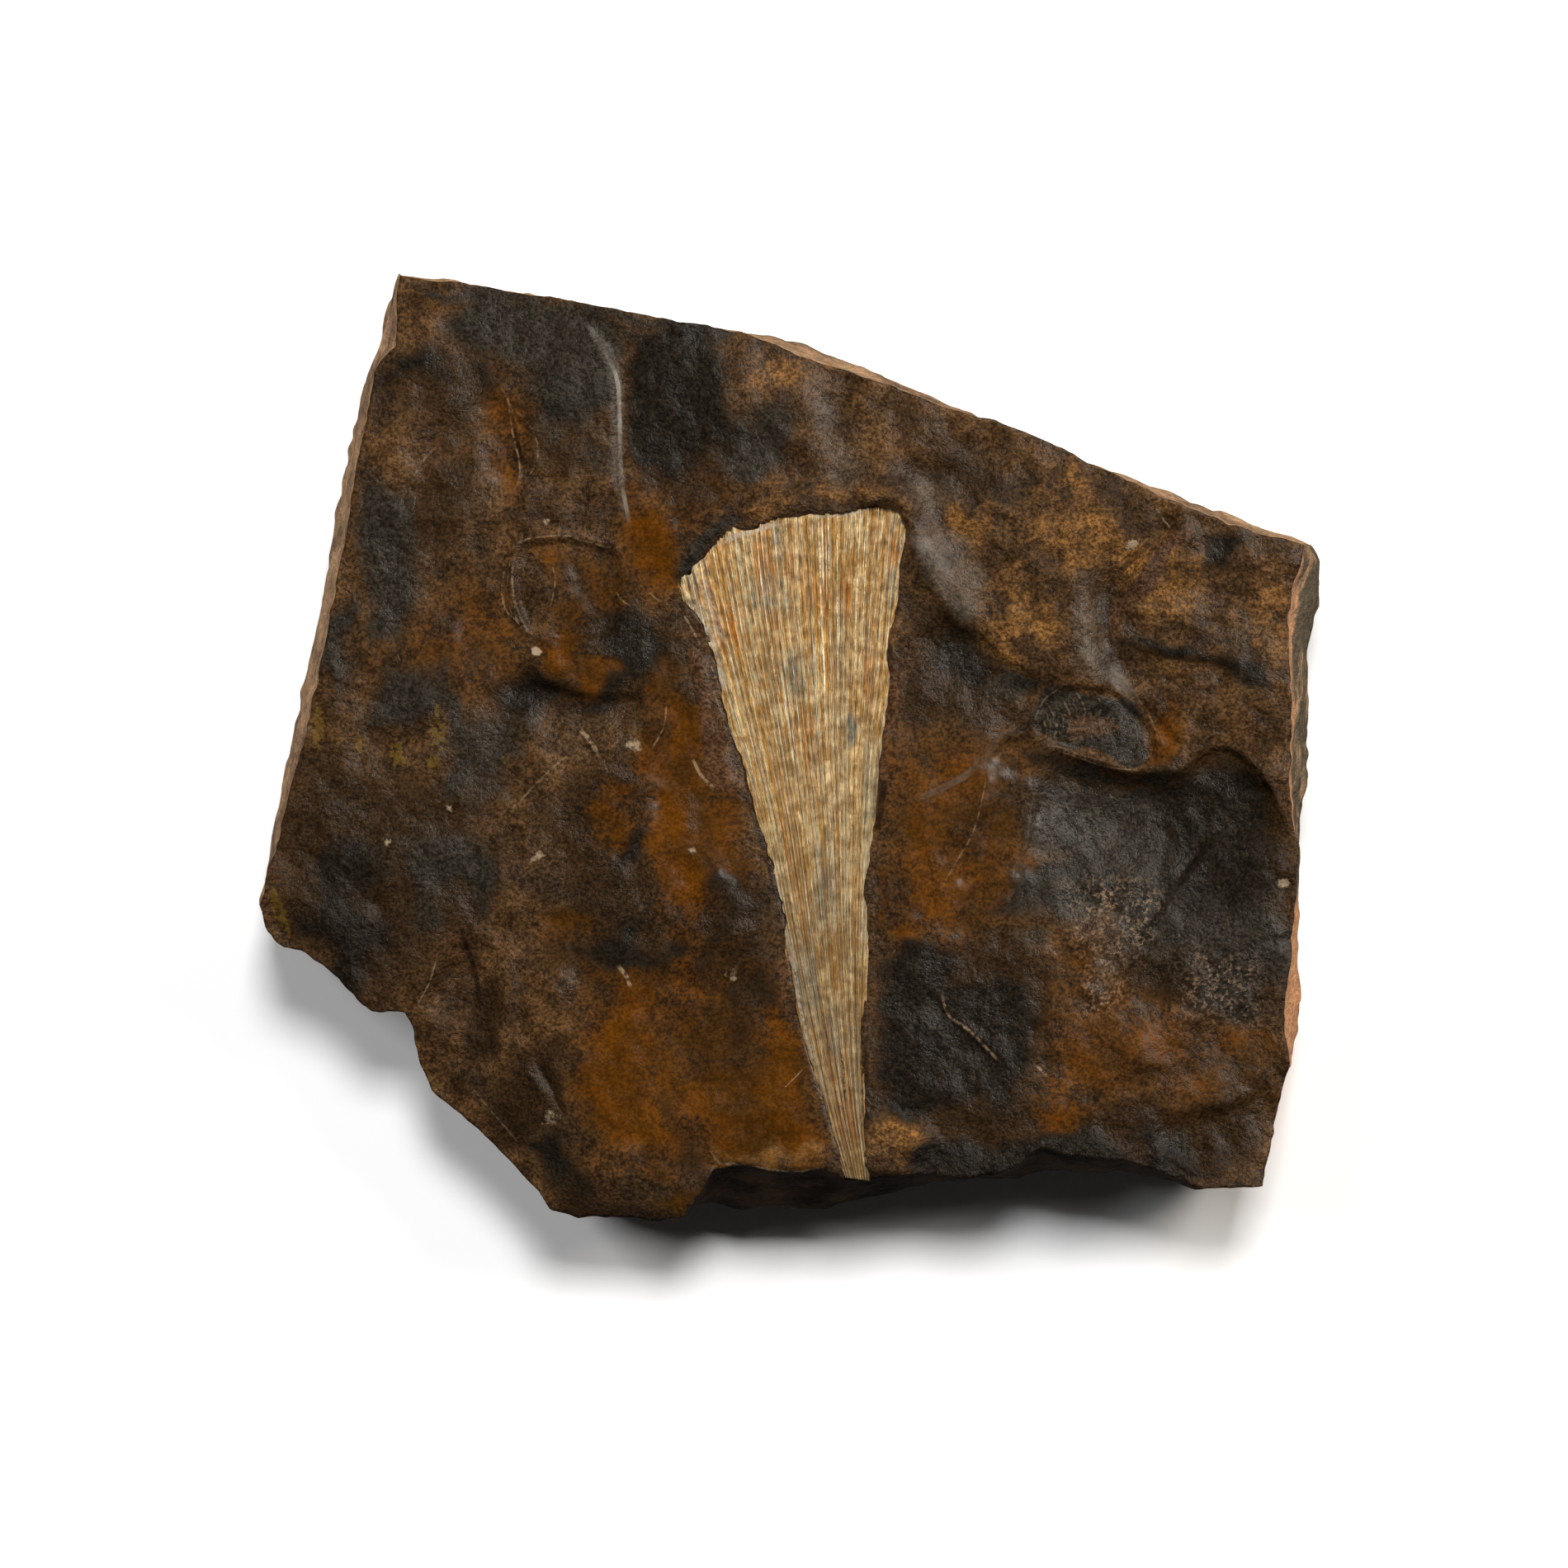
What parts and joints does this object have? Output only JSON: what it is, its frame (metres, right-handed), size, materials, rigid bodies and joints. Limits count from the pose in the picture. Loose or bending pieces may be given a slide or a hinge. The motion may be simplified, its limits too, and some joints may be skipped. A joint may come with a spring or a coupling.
{
  "type": "fossil leaf plate",
  "caption": "Dark brown stone slab with a pale, fan-shaped fossil leaf set in its broken upper face and a flat underside to lie on.",
  "frame": {"origin": "middle of the slab's bounding box, on its flat underside", "axes": "+Z out of the fossil face, +X along the slab's longer side, +Y from the leaf's base towards its broad end"},
  "size_m": [0.1186, 0.1056, 0.0214],
  "materials": {
    "dark_mudstone": "waxy, semi-gloss silicified mudstone, charcoal to amber brown, with fine light flecks and ochre patches",
    "pale_leaf_mineral": "matt, pale cream, tan and blue-grey mineral in fine strands that follow the leaf's parallel veins"
  },
  "bodies": {
    "root": {"stone_plate": "dark_mudstone", "fossil_leaf": "pale_leaf_mineral"}
  },
  "joints": []
}
